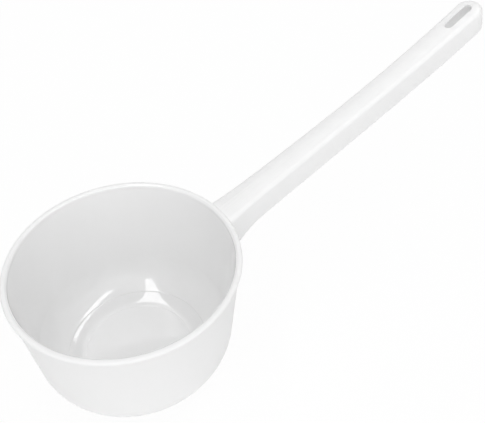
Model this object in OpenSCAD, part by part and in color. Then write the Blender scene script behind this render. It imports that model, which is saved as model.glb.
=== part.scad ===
// Water dipper: a round tapered bowl and a long rising channel handle, moulded in one piece.
// Millimetres. It stands on the plane z = 0, with the origin under the middle of its length.
// The handle runs along +X.

/* [Bowl] */
// Diameter over the rim
rim_d = 150; // [125:1:190]
// Height from the table to the top of the rim
bowl_h = 87; // [72:1:115]
// Thickness of the wall
wall_t = 2.4; // [1.6:0.1:3]
// Lean of the wall from upright, in degrees
wall_draft = 8; // [4:0.5:11]
// Outside radius of the corner between the wall and the bottom
corner_r = 29; // [16:1:36]

/* [Rim] */
// Height of the rounded rim
rim_t = 3; // [2:0.1:3.6]
// How far the rim stands out past the wall
rim_out = 1.5; // [0.5:0.1:3]
// How far the rim stands in past the wall
rim_in = 0.3; // [0.1:0.1:1]

/* [Bottom] */
// Slope of the bottom outside the foot, in degrees
floor_slope = 18; // [10:1:24]
// Width of that slope, from the foot to the corner
slope_w = 8; // [4:0.5:14]
// Thickness of the flat middle of the floor
floor_t = 2; // [1.6:0.1:3]
// Distance from the foot in to the ring where that flat middle ends
ring_gap = 1.8; // [0:0.2:4]
// Radius of the dished floor between the ring and the fine step at the corner
dish_r = 36; // [30:1:70]
// Distance from the foot out to that step
step_w = 9.4; // [8:0.2:14]
// Height of the step
step_h = 0.25; // [0.1:0.05:0.5]
// Width of the ring that touches the table
foot_ring_w = 3; // [2:0.5:8]
// Depth of the recess inside that ring
recess_h = 0.5; // [0.2:0.1:0.8]
// Diameter of the moulding point in the recess
gate_d = 4; // [2:0.5:8]
// How far the moulding point stands out
gate_h = 0.3; // [0.1:0.1:0.5]

/* [Handle] */
// Reach of the handle past the rim
handle_l = 235.5; // [160:0.5:320]
// Height gained by the handle's straight slope over its reach
handle_rise = 64.7; // [0:0.1:90]
// Further height that the handle's upward curve gains at its tip
handle_curve = 10.7; // [0:0.1:25]
// How far the handle's top lies below the rim where they meet
handle_drop = 0.8; // [0:0.1:2.5]
// Width across the top at the bowl
root_w = 22; // [16:0.5:32]
// Width across the top halfway along
waist_w = 18.4; // [14:0.2:28]
// Width across the top at the tip
tip_w = 20.8; // [17:0.2:28]
// Height of the sides
handle_d = 18.6; // [12:0.2:26]
// Thickness of the top and the sides
handle_t = 1.7; // [1.2:0.1:2.4]
// Radius along the top's two edges
edge_r = 3.4; // [2.6:0.2:5]
// How far the top bulges between its edges
crown_h = 1; // [0.2:0.1:2]
// Lean of the sides from upright, in degrees
side_draft = 2; // [0.5:0.5:4]

/* [Root] */
// Length over which the handle spreads into the bowl
flare_l = 26; // [12:1:50]
// Extra width on each side at the bowl
flare_w = 3; // [0:0.5:6]
// Extra depth at the bowl
flare_d = 5; // [0:0.5:12]

/* [Tip] */
// Radius over the top's edge at the tip
nose_r = 7.4; // [4:0.2:8]
// Lean of the tip's face from upright, in degrees
nose_draft = 4; // [0.5:0.5:10]
// Length over which the sides grow lower towards the tip
lift_l = 60; // [30:1:100]
// How much lower the sides are at the tip
lift_h = 1.6; // [0:0.2:4]

/* [Slot] */
// Length of the hanging slot
slot_l = 25.6; // [14:0.2:40]
// Width of the hanging slot
slot_w = 6.4; // [5:0.2:8]
// Distance from the slot to the tip
slot_gap = 9; // [6:0.2:16]

/* [Hidden] */
$fn = 96;
// Clearance by which a cutting shape passes the face it cuts
cut = 1;
// Stations along each side of the handle, steps round its tip, its edges and its crown
stations = 26;
tip_steps = 12;
edge_steps = 4;
crown_steps = 2;

rim_r = rim_d / 2;
bead_r = rim_t / 2;
root_x = rim_r;
tip_r = tip_w / 2;
end_x = root_x + handle_l;
tip_x = end_x - tip_r - (handle_d - lift_h) * tan(nose_draft);

// Directions out of the wall and out of the sloping bottom
wall_n = [cos(wall_draft), -sin(wall_draft)];
slope_n = [sin(floor_slope), -cos(floor_slope)];

// Distance of the wall from the origin along its direction, then the corner that touches the wall
// and the slope, and the foot and the step that follow from it
wall_c = wall_n * [rim_r - rim_out, bowl_h - bead_r];
corner_z = slope_w * tan(floor_slope) + corner_r * cos(floor_slope);
corner_c = [(wall_c - corner_r - wall_n[1] * corner_z) / wall_n[0], corner_z];
foot_r = corner_c[0] + corner_r * slope_n[0] - slope_w;
step_r = foot_r + step_w;

// Point at distance a along the unit direction m and at distance b along n
function meet(m, a, n, b) = [a * n[1] - b * m[1], b * m[0] - a * n[0]] / (m[0] * n[1] - m[1] * n[0]);

// Disc of radius r at point c, kept on one side of the axis
module disc(c, r) {
    intersection() {
        translate(c) circle(r);
        translate([0, c[1] - 2 * r]) square(4 * r);
    }
}

// Everything inside the bowl's outer face, up to the middle of the rim
module outer_section() {
    wall_top = meet(wall_n, wall_c, [0, 1], bowl_h - bead_r);
    polygon([
        [0, 0], [foot_r, 0], corner_c + corner_r * slope_n, corner_c,
        corner_c + corner_r * wall_n, wall_top, [0, wall_top[1]]
    ]);
    disc(corner_c, corner_r);
}

// The hollow inside the wall and the corner
module wall_section() {
    r = corner_r - wall_t;
    wall_top = meet(wall_n, wall_c - wall_t, [0, 1], bowl_h + cut);
    low = corner_c[1] - r + wall_t;
    polygon([
        [0, low], [corner_c[0], low], corner_c, corner_c + r * wall_n, wall_top, [0, wall_top[1]]
    ]);
    disc(corner_c, r);
}

// The hollow over the bottom: flat inside the ring, then dished up to the step
module floor_section() {
    high = corner_c[1];
    under = sqrt(pow(corner_r - wall_t, 2) - pow(step_r - corner_c[0], 2));
    ring = [foot_r - ring_gap, floor_t + recess_h];
    step = [step_r, high - under - step_h];
    half = (step - ring) / 2;
    rise = sqrt(dish_r * dish_r - half * half) / norm(half);
    polygon([[0, ring[1]], ring, step, [step_r, high], [0, high]]);
    intersection() {
        translate(ring + half + rise * [-half[1], half[0]]) circle(dish_r);
        translate([0, ring[1]]) square([step_r, high - ring[1]]);
    }
}

module rim() {
    z = bowl_h - bead_r;
    inner = meet(wall_n, wall_c - wall_t, [0, 1], z)[0] - rim_in + bead_r;
    outer = rim_r - bead_r;
    rotate_extrude() {
        translate([inner, z - bead_r]) square([outer - inner, rim_t]);
        translate([inner, z]) circle(bead_r);
        translate([outer, z]) circle(bead_r);
    }
}

// Height of the handle's top line at x
function top_z(x) =
    let (u = (x - root_x) / handle_l)
    bowl_h - handle_drop + handle_rise * u + handle_curve * pow(max(u, 0), 3);

// Share of the spread into the bowl at x: 1 at the rim, 0 past the flare
function spread(x) = pow(min(max(1 - (x - root_x) / flare_l, 0), 1), 2);

// Half of the width across the top at x
function half_w(x) =
    let (u = (x - root_x) / (tip_x - root_x))
    root_w / 2 * (1 - u) * (1 - 2 * u) + waist_w / 2 * 4 * u * (1 - u)
    + tip_r * u * (2 * u - 1) + flare_w * spread(x);

// Height of the handle's sides at x
function depth(x) =
    handle_d + flare_d * spread(x) - lift_h * pow(max(1 - (end_x - x) / lift_l, 0), 2);

// Plan of the handle: out along one side, round the tip and back along the other.
// Each entry holds the point on the centre line, the way out to the edge and the distance.
function plan(x0) = concat(
    [for (i = [0:stations]) let (x = x0 + (tip_x - x0) * i / stations) [x, [0, 1], half_w(x)]],
    [for (i = [1:tip_steps - 1]) let (a = 90 - 180 * i / tip_steps) [tip_x, [cos(a), sin(a)], tip_r]],
    [for (i = [stations:-1:0]) let (x = x0 + (tip_x - x0) * i / stations) [x, [0, -1], half_w(x)]]
);

// Side, edge and crown of the handle's section at the plan's entry p, moved in from its outer
// face by t and run down past it by drop. Each point holds the distance out and the height above
// the top line.
function flank(p, t, drop) =
    let (
        nose = p[1][0],
        w = p[2] - t,
        r = edge_r + (nose_r - edge_r) * nose - t,
        lean = side_draft + (nose_draft - side_draft) * nose,
        h = depth(p[0] + p[1][0] * p[2]) + drop
    )
    concat(
        [[w + h * tan(lean), -h]],
        [for (i = [0:edge_steps]) let (a = 90 * i / edge_steps)
            [w - r + r * cos(a), r * sin(a) - r - t]],
        [for (i = [1:crown_steps]) let (k = i / (crown_steps + 1))
            [(w - r) * (1 - k), crown_h * (1 - pow(1 - k, 2)) - t]]
    );

// The handle as a solid bar from x0, moved in from its outer face by t and run down past it by drop
module handle_bar(x0, t, drop) {
    path = plan(x0);
    rows = len(path);
    cols = edge_steps + crown_steps + 2;
    points = [
        for (p = path) for (f = flank(p, t, drop))
            let (x = p[0] + p[1][0] * f[0])
            [x, p[1][1] * f[0], top_z(x) + f[1]]
    ];
    skin = [
        for (i = [0:rows - 2]) for (j = [0:cols - 2])
            let (a = i * cols + j, b = a + cols)
            each [[a, b + 1, a + 1], [a, b, b + 1]]
    ];
    half = floor(rows / 2);
    close = [
        for (i = [0:half - 1])
            let (a = i * cols, b = (rows - 1 - i) * cols, c = a + cols, d = b - cols, top = cols - 1)
            each concat(
                [[a, b, c], [a + top, c + top, b + top]],
                c == d ? [] : [[c, b, d], [c + top, d + top, b + top]]
            )
    ];
    last = (rows - 1) * cols;
    end = concat([for (j = [0:cols - 1]) j], [for (j = [cols - 1:-1:0]) last + j]);
    polyhedron(points, concat(skin, close, [end]), convexity = 6);
}

// Slot through the top of the handle, square to its slope there
module slot_cutter() {
    mid = end_x - slot_gap - slot_l / 2;
    tilt = atan2(top_z(mid + slot_l / 2) - top_z(mid - slot_l / 2), slot_l);
    half = (slot_l - slot_w) / 2;
    translate([mid, 0, top_z(mid)]) rotate([0, -tilt, 0]) {
        for (s = [-1, 1])
            translate([s * half, 0, -handle_d / 2])
                cylinder(d = slot_w, h = handle_d);
        translate([-half, -slot_w / 2, -handle_d / 2])
            cube([2 * half, slot_w, handle_d]);
    }
}

// Recess inside the foot ring, with the moulding point left standing in it
module foot_recess() {
    difference() {
        translate([0, 0, -cut]) cylinder(r = foot_r - foot_ring_w, h = recess_h + cut);
        translate([0, 0, recess_h - gate_h]) cylinder(d = gate_d, h = gate_h + cut);
    }
}

module dipper() {
    root = root_x - corner_r;
    color("white") translate([-handle_l / 2, 0, 0]) {
        difference() {
            union() {
                rotate_extrude() outer_section();
                difference() {
                    handle_bar(root, 0, 0);
                    handle_bar(root - cut, handle_t, cut);
                    slot_cutter();
                }
            }
            rotate_extrude() {
                wall_section();
                floor_section();
            }
            foot_recess();
        }
        rim();
    }
}

dipper();
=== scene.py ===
# A white moulded water dipper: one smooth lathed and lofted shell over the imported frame.

import bpy
import math
from mathutils import Matrix, Vector


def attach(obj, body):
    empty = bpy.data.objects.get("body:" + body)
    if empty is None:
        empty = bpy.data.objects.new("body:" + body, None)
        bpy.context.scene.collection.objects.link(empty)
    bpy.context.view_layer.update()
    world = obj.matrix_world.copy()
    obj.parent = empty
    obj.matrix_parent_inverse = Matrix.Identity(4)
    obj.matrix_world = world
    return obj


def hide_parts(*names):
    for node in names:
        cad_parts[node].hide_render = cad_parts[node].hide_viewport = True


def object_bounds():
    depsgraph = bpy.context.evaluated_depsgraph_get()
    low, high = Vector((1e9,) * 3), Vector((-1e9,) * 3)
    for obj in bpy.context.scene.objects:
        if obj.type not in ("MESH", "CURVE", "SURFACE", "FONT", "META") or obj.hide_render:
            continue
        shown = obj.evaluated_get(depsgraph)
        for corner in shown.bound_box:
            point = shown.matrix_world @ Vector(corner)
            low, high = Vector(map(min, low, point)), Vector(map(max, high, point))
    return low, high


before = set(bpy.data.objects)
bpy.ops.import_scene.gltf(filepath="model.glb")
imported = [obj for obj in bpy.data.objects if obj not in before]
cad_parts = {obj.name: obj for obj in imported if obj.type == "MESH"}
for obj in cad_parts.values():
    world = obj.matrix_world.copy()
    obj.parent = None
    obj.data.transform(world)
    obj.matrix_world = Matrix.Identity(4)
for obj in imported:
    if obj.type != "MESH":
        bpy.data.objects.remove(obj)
cadBox = [list(map(float, corner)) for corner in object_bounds()]

mm = 0.001
rimRadius = (cadBox[1][1] - cadBox[0][1]) / 2
bowlX = cadBox[0][0] + rimRadius  # the bowl's axis
reach = cadBox[1][0] - bowlX - rimRadius  # from the rim to the handle's tip


# One node with its settings and its inputs. An input is a value, the socket that feeds it, or a
# list of sockets where the input takes several.
def addNode(tree, kind, settings=None, inputs=None):
    node = tree.nodes.new(kind)
    for name, value in (settings or {}).items():
        setattr(node, name, value)
    for name, value in (inputs or {}).items():
        for source in value if isinstance(value, list) else [value]:
            if isinstance(source, bpy.types.NodeSocket):
                tree.links.new(source, node.inputs[name])
            else:
                node.inputs[name].default_value = source
    return node


# sRGB hex to a linear colour.
def hexColour(code):
    parts = [int(code[i:i + 2], 16) / 255 for i in (1, 3, 5)]
    linear = [p / 12.92 if p <= 0.04045 else ((p + 0.055) / 1.055) ** 2.4 for p in parts]
    return (*linear, 1)


def newObject(name, data):
    thing = bpy.data.objects.new(name, data)
    bpy.context.scene.collection.objects.link(thing)
    return thing


# Camera: the view fitted to the rim, the foot and the handle in the photograph.
camera = {
    "lens": 60.95,  # mm, as the sensor's width
    "sensor": 36,
    "shift": (-0.0052, -0.1888),
    "turn": -33.71,  # degrees round the upright, from the handle's direction
    "height": 37.54,  # degrees above the table
    "roll": -3.28,
    "distance": 694.88 * mm,
    "target": (177.59 * mm, 119.65 * mm, 40.57 * mm),  # from the foot of the bowl's axis
    "nearest": 10 * mm,  # what is closer to the camera isn't drawn
}


def makeCamera(c):
    turn, height, roll = (math.radians(c[k]) for k in ("turn", "height", "roll"))
    flat = math.cos(height)
    back = Vector((math.sin(turn) * flat, -math.cos(turn) * flat, math.sin(height)))
    right = Vector((math.cos(turn), math.sin(turn), 0))
    up = back.cross(right)
    across = right * math.cos(roll) + up * math.sin(roll)
    over = up * math.cos(roll) - right * math.sin(roll)
    data = bpy.data.cameras.new("camera")
    data.lens = c["lens"]
    data.sensor_width = c["sensor"]
    data.shift_x, data.shift_y = c["shift"]
    data.clip_start = c["nearest"]
    eye = newObject("camera", data)
    place = Vector(c["target"]) + Vector((bowlX, 0, 0)) + back * c["distance"]
    eye.matrix_world = Matrix.Translation(place) @ Matrix((across, over, back)).transposed().to_4x4()
    bpy.context.scene.camera = eye


makeCamera(camera)
print("camera made")

# Polypropylene, injection moulded: polished inside the bowl, satin outside and on the handle. The
# eye sees a clean neutral white, crisp lamp reflections inside, and a soft sheen with faint
# lengthwise flow lines on the handle.
plastic = {
    "colour": "#F2F2F2",
    "ior": 1.52,  # polypropylene has about 1.49
    "glowThrough": 0.5,  # a little light passes through the thin walls
    "glowDepth": 4 * mm,
    "satin": (0.42, 0.5),  # roughness of the sharper and of the duller patches
    "polished": (0.01, 0.02),
    "shine": (0.3, 0.7),  # strength of the gloss on the satin and on the polished faces
    "patch": 18 * mm,  # size of the patches
    "patchRange": (0.3, 0.7),  # values of their noise for the sharper and the duller end
    "wave": 24 * mm,  # spacing of the moulding's slow waviness
    "waveDepth": 0.006 * mm,
    "grain": 0.8 * mm,  # coarser than the real surface, so shallow that it barely softens the gloss
    "grainDepth": 0.0004 * mm,
    "flow": (90 * mm, 1.7 * mm),  # length and spacing of the handle's flow lines
    "flowDepth": 0.25 * mm,  # drawn much deeper than real lines, so that they show
    "flowAtTip": 0.35,  # share of their strength at the handle's tip
}


# Roughness and strength of the gloss: satin or polished by the attribute, the roughness in patches.
def glossNodes(tree, p, place):
    polish = addNode(tree, "ShaderNodeAttribute", {"attribute_name": "polish"}).outputs["Fac"]
    patches = addNode(tree, "ShaderNodeTexNoise", inputs={
        "Vector": place, "Scale": 1 / p["patch"], "Detail": 2})
    finish = {}
    for name in ("satin", "polished"):
        finish[name] = addNode(tree, "ShaderNodeMapRange", inputs={
            "Value": patches.outputs["Fac"],
            "From Min": p["patchRange"][0], "From Max": p["patchRange"][1],
            "To Min": p[name][0], "To Max": p[name][1]}).outputs["Result"]
    roughness = addNode(tree, "ShaderNodeMix", inputs={
        0: polish, 2: finish["satin"], 3: finish["polished"]})
    shine = addNode(tree, "ShaderNodeMix", inputs={0: polish, 2: p["shine"][0], 3: p["shine"][1]})
    return roughness.outputs[0], shine.outputs[0]


# Relief: slow waves and a fine grain all over, and flow lines along the handle, which are
# strongest where it leaves the bowl.
def reliefNodes(tree, p, place):
    wave = addNode(tree, "ShaderNodeTexNoise", inputs={
        "Vector": place, "Scale": 1 / p["wave"], "Detail": 1})
    slow = addNode(tree, "ShaderNodeBump", inputs={
        "Height": wave.outputs["Fac"], "Distance": p["waveDepth"]})
    grain = addNode(tree, "ShaderNodeTexNoise", inputs={
        "Vector": place, "Scale": 1 / p["grain"], "Detail": 2})
    fine = addNode(tree, "ShaderNodeBump", inputs={
        "Height": grain.outputs["Fac"], "Distance": p["grainDepth"],
        "Normal": slow.outputs["Normal"]})

    along, spacing = p["flow"]
    stretched = addNode(tree, "ShaderNodeMapping", inputs={
        "Vector": place, "Scale": (1 / along, 1 / spacing, 1 / along)})
    lines = addNode(tree, "ShaderNodeTexNoise", inputs={
        "Vector": stretched.outputs["Vector"], "Scale": 1, "Detail": 1})
    x = addNode(tree, "ShaderNodeSeparateXYZ", inputs={0: place}).outputs["X"]
    rootX = bowlX + rimRadius
    strength = addNode(tree, "ShaderNodeMapRange", inputs={
        "Value": x, "From Min": rootX, "From Max": rootX + reach,
        "To Min": 1, "To Max": p["flowAtTip"]})
    onHandle = addNode(tree, "ShaderNodeMath", {"operation": "GREATER_THAN"}, {0: x, 1: rootX})
    amount = addNode(tree, "ShaderNodeMath", {"operation": "MULTIPLY"}, {
        0: strength.outputs["Result"], 1: onHandle.outputs[0]})
    flow = addNode(tree, "ShaderNodeBump", inputs={
        "Strength": amount.outputs[0], "Height": lines.outputs["Fac"], "Distance": p["flowDepth"],
        "Normal": fine.outputs["Normal"]})
    return flow.outputs["Normal"]


def mouldedPolypropylene(p):
    material = bpy.data.materials.new("mouldedPolypropylene")
    material.use_nodes = True
    tree = material.node_tree
    shader = tree.nodes["Principled BSDF"].inputs
    shader["Base Color"].default_value = hexColour(p["colour"])
    shader["IOR"].default_value = p["ior"]
    shader["Subsurface Weight"].default_value = p["glowThrough"]
    shader["Subsurface Radius"].default_value = (1, 1, 1)
    shader["Subsurface Scale"].default_value = p["glowDepth"]
    place = addNode(tree, "ShaderNodeTexCoord").outputs["Object"]
    roughness, shine = glossNodes(tree, p, place)
    tree.links.new(roughness, shader["Roughness"])
    tree.links.new(shine, shader["Specular IOR Level"])
    tree.links.new(reliefNodes(tree, p, place), shader["Normal"])
    return material


whitePlastic = mouldedPolypropylene(plastic)
print("plastic made")

# The bowl, from the rim down to the foot that it stands on.
bowl = {
    "height": 87 * mm,
    "wall": 2.4 * mm,
    "draft": 8,  # degrees by which the wall leans outwards
    "corner": 29 * mm,  # radius from the wall to the underside
    "slope": 18,  # degrees by which the underside rises outside the foot
    "slopeWide": 8 * mm,
    "floor": 2 * mm,
    "ringIn": 1.4 * mm,  # from the foot in to the ring where the flat middle ends
    "ringSlope": 3,  # degrees at which the dished floor leaves the ring
    "ringStep": 0.12 * mm,
    "dishSteps": 20,
    "stepOut": 9.4 * mm,  # from the foot out to the fine step inside the bowl
    "stepHigh": 0.45 * mm,
    "rimHigh": 3 * mm,
    "rimOut": 1.5 * mm,
    "rimIn": 0.3 * mm,
    "footWide": 3 * mm,
    "recess": 0.5 * mm,  # under the middle, inside the foot
    "gateWide": 4 * mm,  # the moulding point in the recess
    "gateHigh": 0.3 * mm,
    "softEdge": 0.35 * mm,
    "filletSteps": (900, 4.5),  # steps for each metre of rounding, and the fewest
    "around": 288,  # faces round the axis
    "weld": 0.001 * mm,  # points closer than this become one
}


# Point at distance a along the unit direction m and at distance b along n.
def meet(m, a, n, b):
    d = m[0] * n[1] - m[1] * n[0]
    return Vector(((a * n[1] - b * m[1]) / d, (b * m[0] - a * n[0]) / d))


# What the bowl and the handle's root share: the direction square to the wall and the wall's
# distance along it, the same for the sloping underside, the corner's centre and the foot's radius.
def bowlLines(b):
    draft, slope = math.radians(b["draft"]), math.radians(b["slope"])
    wallOut = Vector((math.cos(draft), -math.sin(draft)))
    slopeOut = Vector((math.sin(slope), -math.cos(slope)))
    wallAt = wallOut.dot((rimRadius - b["rimOut"], b["height"] - b["rimHigh"] / 2))
    cornerZ = b["slopeWide"] * math.tan(slope) + b["corner"] * math.cos(slope)
    corner = Vector(((wallAt - b["corner"] - wallOut.y * cornerZ) / wallOut.x, cornerZ))
    footR = corner.x + b["corner"] * slopeOut.x - b["slopeWide"]
    return wallOut, wallAt, slopeOut, slopeOut.x * footR, corner, footR


# The dished floor falls as a parabola from the foot of the fine step to the ring.
def dishPoints(b, ring, wide, rise):
    slopeIn = math.tan(math.radians(b["ringSlope"]))
    bend = (rise - slopeIn * wide) / wide ** 2
    points = []
    for k in range(b["dishSteps"] - 1, 0, -1):
        x = wide * k / b["dishSteps"]
        points.append((ring.x + x, ring.y + slopeIn * x + bend * x ** 2, 0))
    return points


# The section, from the middle of the underside round the rim and back to the floor's middle. Each
# point holds its radius from the axis, its height and the radius that rounds it.
def bowlSection(b):
    wallOut, wallAt, slopeOut, slopeAt, corner, footR = bowlLines(b)
    level = Vector((0, 1))
    soft, bead, top = b["softEdge"], b["rimHigh"] / 2, b["height"]
    footIn, gateR, gateZ = footR - b["footWide"], b["gateWide"] / 2, b["recess"] - b["gateHigh"]
    innerWall = wallAt - b["wall"]
    innerCorner = b["corner"] - b["wall"]
    lip = meet(wallOut, innerWall, level, top - bead).x - b["rimIn"]
    stepR = footR + b["stepOut"]
    lean = (stepR - corner.x) / innerCorner  # sine of the corner's slope at the step
    stepOutward = Vector((lean, -math.sqrt(1 - lean ** 2)))
    step = corner + innerCorner * stepOutward
    stepIn = stepR - b["stepHigh"] / 3  # the step's face leans a little
    ring = Vector((footR - b["ringIn"], b["recess"] + b["floor"]))
    return [
        (0, gateZ, 0),  # moulding point
        (gateR, gateZ, soft / 2),
        (gateR, b["recess"], soft / 2),
        (footIn, b["recess"], soft),  # foot
        (footIn, 0, soft),
        (footR, 0, 4 * soft),
        (*meet(slopeOut, slopeAt, wallOut, wallAt), b["corner"]),
        (*meet(wallOut, wallAt, level, top - b["rimHigh"]), soft),  # rim
        (rimRadius, top - b["rimHigh"], bead),
        (rimRadius, top, bead),
        (lip, top, bead),
        (lip, top - b["rimHigh"], bead),
        (*meet(wallOut, innerWall, level, top - b["rimHigh"] - 2 * b["rimIn"]), 4 * bead),
        (*meet(wallOut, innerWall, stepOutward, stepOutward.dot(step)), innerCorner),
        (*step, 1.5 * soft),  # fine step
        (stepIn, step.y - b["stepHigh"], 1.5 * soft),
        *dishPoints(b, ring, stepIn - ring.x, step.y - b["stepHigh"] - ring.y),
        (*ring, soft),  # ring and flat middle
        (ring.x - 2 * b["ringStep"], ring.y - b["ringStep"], soft),
        (0, ring.y - b["ringStep"], 0),
    ]


def sectionCurve(points):
    data = bpy.data.curves.new("bowlSection", "CURVE")
    data.dimensions = "3D"
    line = data.splines.new("POLY")
    line.points.add(len(points) - 1)
    for point, (r, z, rounding) in zip(line.points, points):
        point.co = (r, z, 0, 1)
        point.radius = rounding
    return newObject("bowlSection", data)


# The handle is a channel: its top, its two sides and its tip are one wall, open underneath.
handle = {
    "rise": 64.7 * mm,  # of the top line, from the rim to the tip
    "curve": 10.7 * mm,  # its further rise at the tip by bending up
    "drop": 0.8 * mm,  # of the top line below the rim
    "rootWide": 21.4 * mm,
    "waistWide": 17.8 * mm,
    "tipWide": 20.3 * mm,
    "deep": 18.9 * mm,
    "wall": 1.7 * mm,
    "edge": 3.4 * mm,  # radius along the top edges
    "crown": 0.55 * mm,
    "draft": 2,  # degrees by which the sides lean outwards
    "flareLong": 26 * mm,  # spread into the bowl
    "flareWide": 1.2 * mm,
    "flareDeep": 7 * mm,
    "nose": 7.4 * mm,  # radius of the top edge at the tip
    "noseDraft": 4,
    "liftLong": 60 * mm,  # rise of the lower edge towards the tip
    "lift": 1.6 * mm,
    "lip": 0.45 * mm,  # radius along the lower edges
    "stations": 110,  # rows along each side
    "tipSteps": 48,
    "edgeSteps": 10,
    "crownSteps": 8,
    "lipSteps": 3,
    "rootRounds": 3,  # rounds in which the root's end settles on the bowl's wall
}


# Height of the handle's top line above the table, x being counted from the bowl's axis.
def topLine(h, x):
    u = (x - rimRadius) / reach
    return bowl["height"] - h["drop"] + h["rise"] * u + h["curve"] * max(u, 0) ** 3


# x of the centre of the round tip, which leaves room for the lean of its face.
def tipCentre(h):
    noseLean = (h["deep"] - h["lift"]) * math.tan(math.radians(h["noseDraft"]))
    return rimRadius + reach - h["tipWide"] / 2 - noseLean


# Half of the handle's width, and its depth, at x.
def handleSize(h, x):
    u = (x - rimRadius) / (tipCentre(h) - rimRadius)
    spread = min(max(1 - (x - rimRadius) / h["flareLong"], 0), 1) ** 2
    wide = (h["rootWide"] / 2 * (1 - u) * (1 - 2 * u) + h["waistWide"] / 2 * 4 * u * (1 - u)
            + h["tipWide"] / 2 * u * (2 * u - 1) + h["flareWide"] * spread)
    lift = h["lift"] * max(1 - (rimRadius + reach - x) / h["liftLong"], 0) ** 2
    return wide, h["deep"] + h["flareDeep"] * spread - lift


# Half of the channel's section as distances out and heights over the top line: the outer face
# from the crown to the lip, then the inner face back. nose is 1 at the tip and 0 on the sides.
def halfSection(h, wide, deep, nose):
    lean = math.tan(math.radians(h["draft"] + (h["noseDraft"] - h["draft"]) * nose))
    edge = h["edge"] + (h["nose"] - h["edge"]) * nose
    lip, strips = h["lip"], h["crownSteps"] + 1
    quarter = math.pi / 2
    faces = []
    for inward, side in ((0, 1), (h["wall"], -1)):
        w, r = wide - inward, edge - inward
        face = []
        for k in range(1, strips):
            face.append(((w - r) * k / strips, h["crown"] * (1 - (k / strips) ** 2) - inward))
        for k in range(h["edgeSteps"] + 1):
            angle = quarter * k / h["edgeSteps"]
            face.append((w - r + r * math.sin(angle), r * math.cos(angle) - r - inward))
        centre = w + (deep - lip) * lean - side * lip
        for k in range(h["lipSteps"] + 1):
            angle = quarter * k / h["lipSteps"]
            face.append((centre + side * lip * math.cos(angle), lip - deep - lip * math.sin(angle)))
        faces.append(face)
    return faces[0] + faces[1][::-1]


# Radius of the middle of the bowl's wall at height z, where the handle's root ends out of sight.
def middleOfWall(z):
    wallOut, wallAt = bowlLines(bowl)[:2]
    return (wallAt - bowl["wall"] / 2 - wallOut.y * z) / wallOut.x


# x at which one point of the section ends in the middle of the bowl's wall.
def rootEnd(h, column):
    highest = bowl["height"] - bowl["rimHigh"] / 2
    x = rimRadius
    for _ in range(h["rootRounds"]):
        out, up = halfSection(h, *handleSize(h, x), 0)[column]
        x = math.sqrt(middleOfWall(min(topLine(h, x) + up, highest)) ** 2 - out ** 2)
    return x


# Rows of points, from the root along one side, round the tip and back along the other.
def handleRows(h):
    tip, last, half = tipCentre(h), h["stations"], h["tipWide"] / 2
    columns = len(halfSection(h, *handleSize(h, tip), 0))
    ends = [rootEnd(h, column) for column in range(columns)]
    rows = []
    for step in range(last + 1):
        row = []
        for column, end in enumerate(ends):
            x = end + (tip - end) * step / last
            out, up = halfSection(h, *handleSize(h, x), 0)[column]
            row.append((x, out, topLine(h, x) + up))
        rows.append(row)
    for step in range(1, h["tipSteps"]):
        angle = math.pi * (0.5 - step / h["tipSteps"])
        deep = handleSize(h, tip + math.cos(angle) * half)[1]
        row = []
        for out, up in halfSection(h, half, deep, math.cos(angle)):
            x = tip + math.cos(angle) * out
            row.append((x, math.sin(angle) * out, topLine(h, x) + up))
        rows.append(row)
    return rows + [[(x, -y, z) for x, y, z in row] for row in rows[last::-1]]


# Faces between the rows, then those that close the bar.
def handleFaces(total, columns):
    end, base = columns - 1, (total - 1) * columns
    faces = []
    for i in range(total - 1):
        for j in range(columns - 1):
            a, b = i * columns + j, (i + 1) * columns + j
            faces.append((a, b, b + 1, a + 1))
    # the strips along the middle of the top, outside and inside
    for i in range(total // 2):
        a, b = i * columns, (i + 1) * columns
        c, d = (total - 2 - i) * columns, (total - 1 - i) * columns
        if b == c:
            faces += [(a, d, b), (a + end, b + end, d + end)]
        else:
            faces += [(a, d, c, b), (a + end, b + end, c + end, d + end)]
    # the wall's end at the root
    for j in range(columns // 2 - 1):
        faces.append((j, j + 1, end - j - 1, end - j))
        faces.append((base + j, base + end - j, base + end - j - 1, base + j + 1))
    faces.append((0, end, base + end, base))
    return faces


def handleMesh(h):
    rows = handleRows(h)
    data = bpy.data.meshes.new("handleBar")
    points = [point for row in rows for point in row]
    data.from_pydata(points, [], handleFaces(len(rows), len(rows[0])))
    data.validate()
    return newObject("handleBar", data)


# The hanging slot's cutter, square to the handle's slope, which opens out at the top face to
# leave a rounded edge.
slot = {
    "long": 25.6 * mm,
    "wide": 6.4 * mm,
    "gap": 9 * mm,  # from the slot to the handle's tip
    "edge": 0.6 * mm,
    "edgeSunk": 0.9,  # share of the edge's radius that lies below the crown
    "edgeSteps": 6,
    "below": 12 * mm,  # reach of the cutter under and over the top face
    "above": 6 * mm,
    "flare": 0.01 * mm,  # its last widening, above the rounded edge
    "steps": 24,
}


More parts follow.
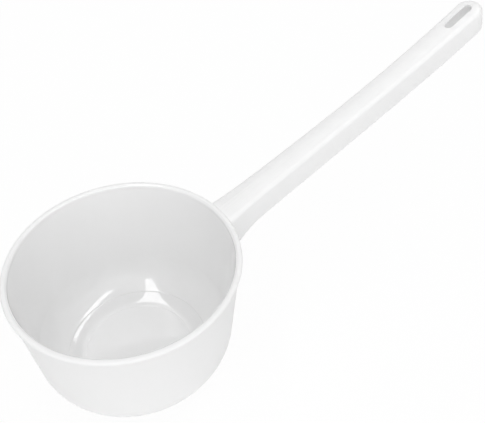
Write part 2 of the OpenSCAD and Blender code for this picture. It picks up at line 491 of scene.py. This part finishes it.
def slotMesh(s, h):
    middle = rimRadius + reach - s["gap"] - s["long"] / 2
    slope = (topLine(h, middle + s["long"] / 2) - topLine(h, middle - s["long"] / 2)) / s["long"]
    turn = Matrix.Rotation(-math.atan(slope), 4, "Y")
    levels = [(-s["below"], 0)]  # height over the top line and widening
    for k in range(s["edgeSteps"] + 1):
        angle = math.pi / 2 * k / s["edgeSteps"]
        height = h["crown"] + s["edge"] * (math.sin(angle) - s["edgeSunk"])
        levels.append((height, s["edge"] * (1 - math.cos(angle))))
    levels.append((h["crown"] + s["above"], s["edge"] + s["flare"]))

    points = []
    half = (s["long"] - s["wide"]) / 2
    for z, widening in levels:
        r = s["wide"] / 2 + widening
        for end in (1, -1):
            for k in range(s["steps"] + 1):
                angle = math.pi * (k / s["steps"] - 0.5) + (0 if end == 1 else math.pi)
                place = turn @ Vector((end * half + r * math.cos(angle), r * math.sin(angle), z))
                points.append((place.x + middle, place.y, place.z + topLine(h, middle)))

    ring = 2 * (s["steps"] + 1)
    top = (len(levels) - 1) * ring
    faces = [tuple(reversed(range(ring))), tuple(range(top, top + ring))]
    for i in range(len(levels) - 1):
        for j in range(ring):
            a, b = i * ring + j, i * ring + (j + 1) % ring
            faces.append((a, b, b + ring, a + ring))
    data = bpy.data.meshes.new("slotCutter")
    data.from_pydata(points, [], faces)
    return newObject("slotCutter", data)


# Rounds the section's corners, with more steps where the radius is larger, and turns it about the
# bowl's axis. The rail has the rim's radius, so the section is moved in by as much.
def bowlNodes(tree, given, b):
    section = addNode(tree, "GeometryNodeObjectInfo", inputs={"Object": given["Section"]})
    rounding = addNode(tree, "GeometryNodeInputRadius").outputs[0]
    perMetre, fewest = b["filletSteps"]
    count = addNode(tree, "ShaderNodeMath", {"operation": "MULTIPLY_ADD"}, {
        0: rounding, 1: perMetre, 2: fewest})
    filleted = addNode(tree, "GeometryNodeFilletCurve", {"mode": "POLY"}, {
        "Curve": section.outputs["Geometry"], "Count": count.outputs[0], "Radius": rounding,
        "Limit Radius": True})
    plain = addNode(tree, "GeometryNodeSetCurveRadius", inputs={
        "Curve": filleted.outputs["Curve"], "Radius": 1.0})
    inward = addNode(tree, "ShaderNodeMath", {"operation": "MULTIPLY"}, {0: given["Rail"], 1: -1.0})
    offset = addNode(tree, "ShaderNodeCombineXYZ", inputs={"X": inward.outputs[0]})
    moved = addNode(tree, "GeometryNodeTransform", inputs={
        "Geometry": plain.outputs["Curve"], "Translation": offset.outputs["Vector"],
        "Scale": (1, -1, 1)})
    rail = addNode(tree, "GeometryNodeCurvePrimitiveCircle", {"mode": "RADIUS"}, {
        "Resolution": given["Around"], "Radius": given["Rail"]})
    turned = addNode(tree, "GeometryNodeCurveToMesh", inputs={
        "Curve": rail.outputs["Curve"], "Profile Curve": moved.outputs["Geometry"]})
    outward = addNode(tree, "GeometryNodeFlipFaces", inputs={"Mesh": turned.outputs["Mesh"]})
    closed = addNode(tree, "GeometryNodeMergeByDistance", inputs={
        "Geometry": outward.outputs["Mesh"], "Distance": b["weld"]})
    return closed.outputs["Geometry"]


# Turns the bowl, joins the handle, cuts the slot and sets the material.
def dipperTree():
    tree = bpy.data.node_groups.new("mouldDipper", "GeometryNodeTree")
    sockets = {"Section": "Object", "Handle": "Object", "Slot": "Object", "Around": "Int",
               "Rail": "Float", "Axis": "Vector", "Material": "Material"}
    tree.interface.new_socket("Geometry", in_out="OUTPUT", socket_type="NodeSocketGeometry")
    for name, kind in sockets.items():
        tree.interface.new_socket(name, in_out="INPUT", socket_type="NodeSocket" + kind)
    given = addNode(tree, "NodeGroupInput").outputs
    shell = bowlNodes(tree, given, bowl)
    bar = addNode(tree, "GeometryNodeObjectInfo", inputs={"Object": given["Handle"]})
    joined = addNode(tree, "GeometryNodeMeshBoolean", {"operation": "UNION", "solver": "EXACT"}, {
        "Mesh 2": [shell, bar.outputs["Geometry"]]})
    cutter = addNode(tree, "GeometryNodeObjectInfo", inputs={"Object": given["Slot"]})
    cut = addNode(tree, "GeometryNodeMeshBoolean", {"operation": "DIFFERENCE", "solver": "EXACT"}, {
        "Mesh 1": joined.outputs["Mesh"], "Mesh 2": cutter.outputs["Geometry"]})
    placed = addNode(tree, "GeometryNodeTransform", inputs={
        "Geometry": cut.outputs["Mesh"], "Translation": given["Axis"]})
    whole = addNode(tree, "GeometryNodeRealizeInstances", inputs={
        "Geometry": placed.outputs["Geometry"]})
    painted = addNode(tree, "GeometryNodeSetMaterial", inputs={
        "Geometry": whole.outputs["Geometry"], "Material": given["Material"]})
    addNode(tree, "NodeGroupOutput", inputs={"Geometry": painted.outputs["Geometry"]})
    return tree


# The polish attribute is 1 inside the bowl, where faces look up or towards the axis, and 0 elsewhere.
def markPolish(data):
    polish = data.attributes.new("polish", "FLOAT", "POINT")
    for vertex in data.vertices:
        inward = Vector((bowlX - vertex.co.x, -vertex.co.y, 0))
        inside = inward.length < rimRadius - bowl["rimHigh"]
        looks = vertex.normal.z * inward.length + vertex.normal.dot(inward)
        polish.data[vertex.index].value = 1 if inside and looks > 0 else 0


sharpAngle = 32  # degrees between faces, past which an edge is shaded sharp


def makeDipper():
    helpers = {
        "Section": sectionCurve(bowlSection(bowl)),
        "Handle": handleMesh(handle),
        "Slot": slotMesh(slot, handle),
    }
    sizes = {"Around": bowl["around"], "Rail": rimRadius, "Axis": (bowlX, 0, 0)}
    values = {**helpers, **sizes, "Material": whitePlastic}
    carrier = newObject("carrier", bpy.data.meshes.new("carrier"))
    modifier = carrier.modifiers.new("mould", "NODES")
    modifier.node_group = dipperTree()
    for item in modifier.node_group.interface.items_tree:
        if item.in_out == "INPUT":
            modifier[item.identifier] = values[item.name]
    evaluated = carrier.evaluated_get(bpy.context.evaluated_depsgraph_get())
    data = bpy.data.meshes.new_from_object(evaluated)
    for thing in (carrier, *helpers.values()):
        bpy.data.objects.remove(thing)
    data.shade_smooth()
    data.set_sharp_from_angle(angle=math.radians(sharpAngle))
    markPolish(data)
    return newObject("dipperShell", data)


dipper = makeDipper()
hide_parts("dipper")
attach(dipper, "root")
print("dipper made:", len(dipper.data.polygons), "faces")

# Studio: two long softboxes overhead, a pale floor, and a surround that is brighter on the
# camera's side. Lengths are in metres.
studio = {
    "lampHeight": 1.1,
    "lampTurn": -5.4,  # degrees from the view's own direction
    # place across and along the view, width and length
    "lamps": {"lampRight": (0.435, 0.2, 0.18, 1.19), "lampLeft": (-0.25, -0.075, 0.18, 1.74)},
    "lampGlow": 4.05,  # against a white surface in full light
    "floor": "#FCFCFC",
    "floorHalf": 6,  # from the middle to each edge
    "paperGlow": 0.95,  # share of plain white in the paper that the camera sees
    "surround": 0.35,
    "front": 1.01,
    "frontTurn": 12,  # degrees to the right of the camera
}


def makeLamps(s):
    turn = math.radians(camera["turn"]) + math.radians(s["lampTurn"])
    overhead = Matrix.Translation((bowlX, 0, s["lampHeight"])) @ Matrix.Rotation(turn, 4, "Z")
    for name, (across, along, width, length) in s["lamps"].items():
        data = bpy.data.lights.new(name, "AREA")
        data.shape = "RECTANGLE"
        data.size, data.size_y = width, length
        data.energy = s["lampGlow"] * math.pi * width * length
        lamp = newObject(name, data)
        lamp.matrix_world = overhead @ Matrix.Translation((across, along, 0))


# Matt white paper, nearly plain white to the camera and in reflections, which keeps the shadow.
def paperSweep(s):
    material = bpy.data.materials.new("paperSweep")
    material.use_nodes = True
    tree = material.node_tree
    paper = tree.nodes["Principled BSDF"]
    paper.inputs["Base Color"].default_value = hexColour(s["floor"])
    paper.inputs["Roughness"].default_value = 1
    paper.inputs["Specular IOR Level"].default_value = 0
    rays = addNode(tree, "ShaderNodeLightPath").outputs
    seen = rays["Is Camera Ray"]
    for kind in ("Is Glossy Ray", "Is Transmission Ray"):
        either = addNode(tree, "ShaderNodeMath", {"operation": "MAXIMUM"}, {0: seen, 1: rays[kind]})
        seen = either.outputs[0]
    share = addNode(tree, "ShaderNodeMath", {"operation": "MULTIPLY"}, {0: seen, 1: s["paperGlow"]})
    glow = addNode(tree, "ShaderNodeEmission", inputs={"Strength": 1.0})
    mix = addNode(tree, "ShaderNodeMixShader", inputs={
        0: share.outputs[0], 1: paper.outputs[0], 2: glow.outputs[0]})
    tree.links.new(mix.outputs[0], tree.nodes["Material Output"].inputs["Surface"])
    return material


def makeFloor(s):
    half = s["floorHalf"]
    corners = [(-half, -half, 0), (half, -half, 0), (half, half, 0), (-half, half, 0)]
    data = bpy.data.meshes.new("floor")
    data.from_pydata(corners, [], [(0, 1, 2, 3)])
    data.materials.append(paperSweep(s))
    newObject("floor", data)


def makeSurround(s):
    world = bpy.data.worlds.new("surround")
    bpy.context.scene.world = world
    world.use_nodes = True
    tree = world.node_tree
    direction = addNode(tree, "ShaderNodeTexCoord").outputs["Generated"]
    turn = math.radians(camera["turn"]) + math.radians(s["frontTurn"])
    front = (math.sin(turn), -math.cos(turn), 0)
    facing = addNode(tree, "ShaderNodeVectorMath", {"operation": "DOT_PRODUCT"}, {
        0: direction, 1: front})
    ahead = addNode(tree, "ShaderNodeMath", {"operation": "MAXIMUM"}, {
        0: facing.outputs["Value"], 1: 0.0})
    level = addNode(tree, "ShaderNodeMath", {"operation": "MULTIPLY_ADD"}, {
        0: ahead.outputs[0], 1: s["front"], 2: s["surround"]})
    background = tree.nodes["Background"].inputs
    background["Color"].default_value = (1, 1, 1, 1)
    tree.links.new(level.outputs[0], background["Strength"])


makeLamps(studio)
makeFloor(studio)
makeSurround(studio)
bpy.context.scene.view_settings.view_transform = "Standard"
print("studio made")
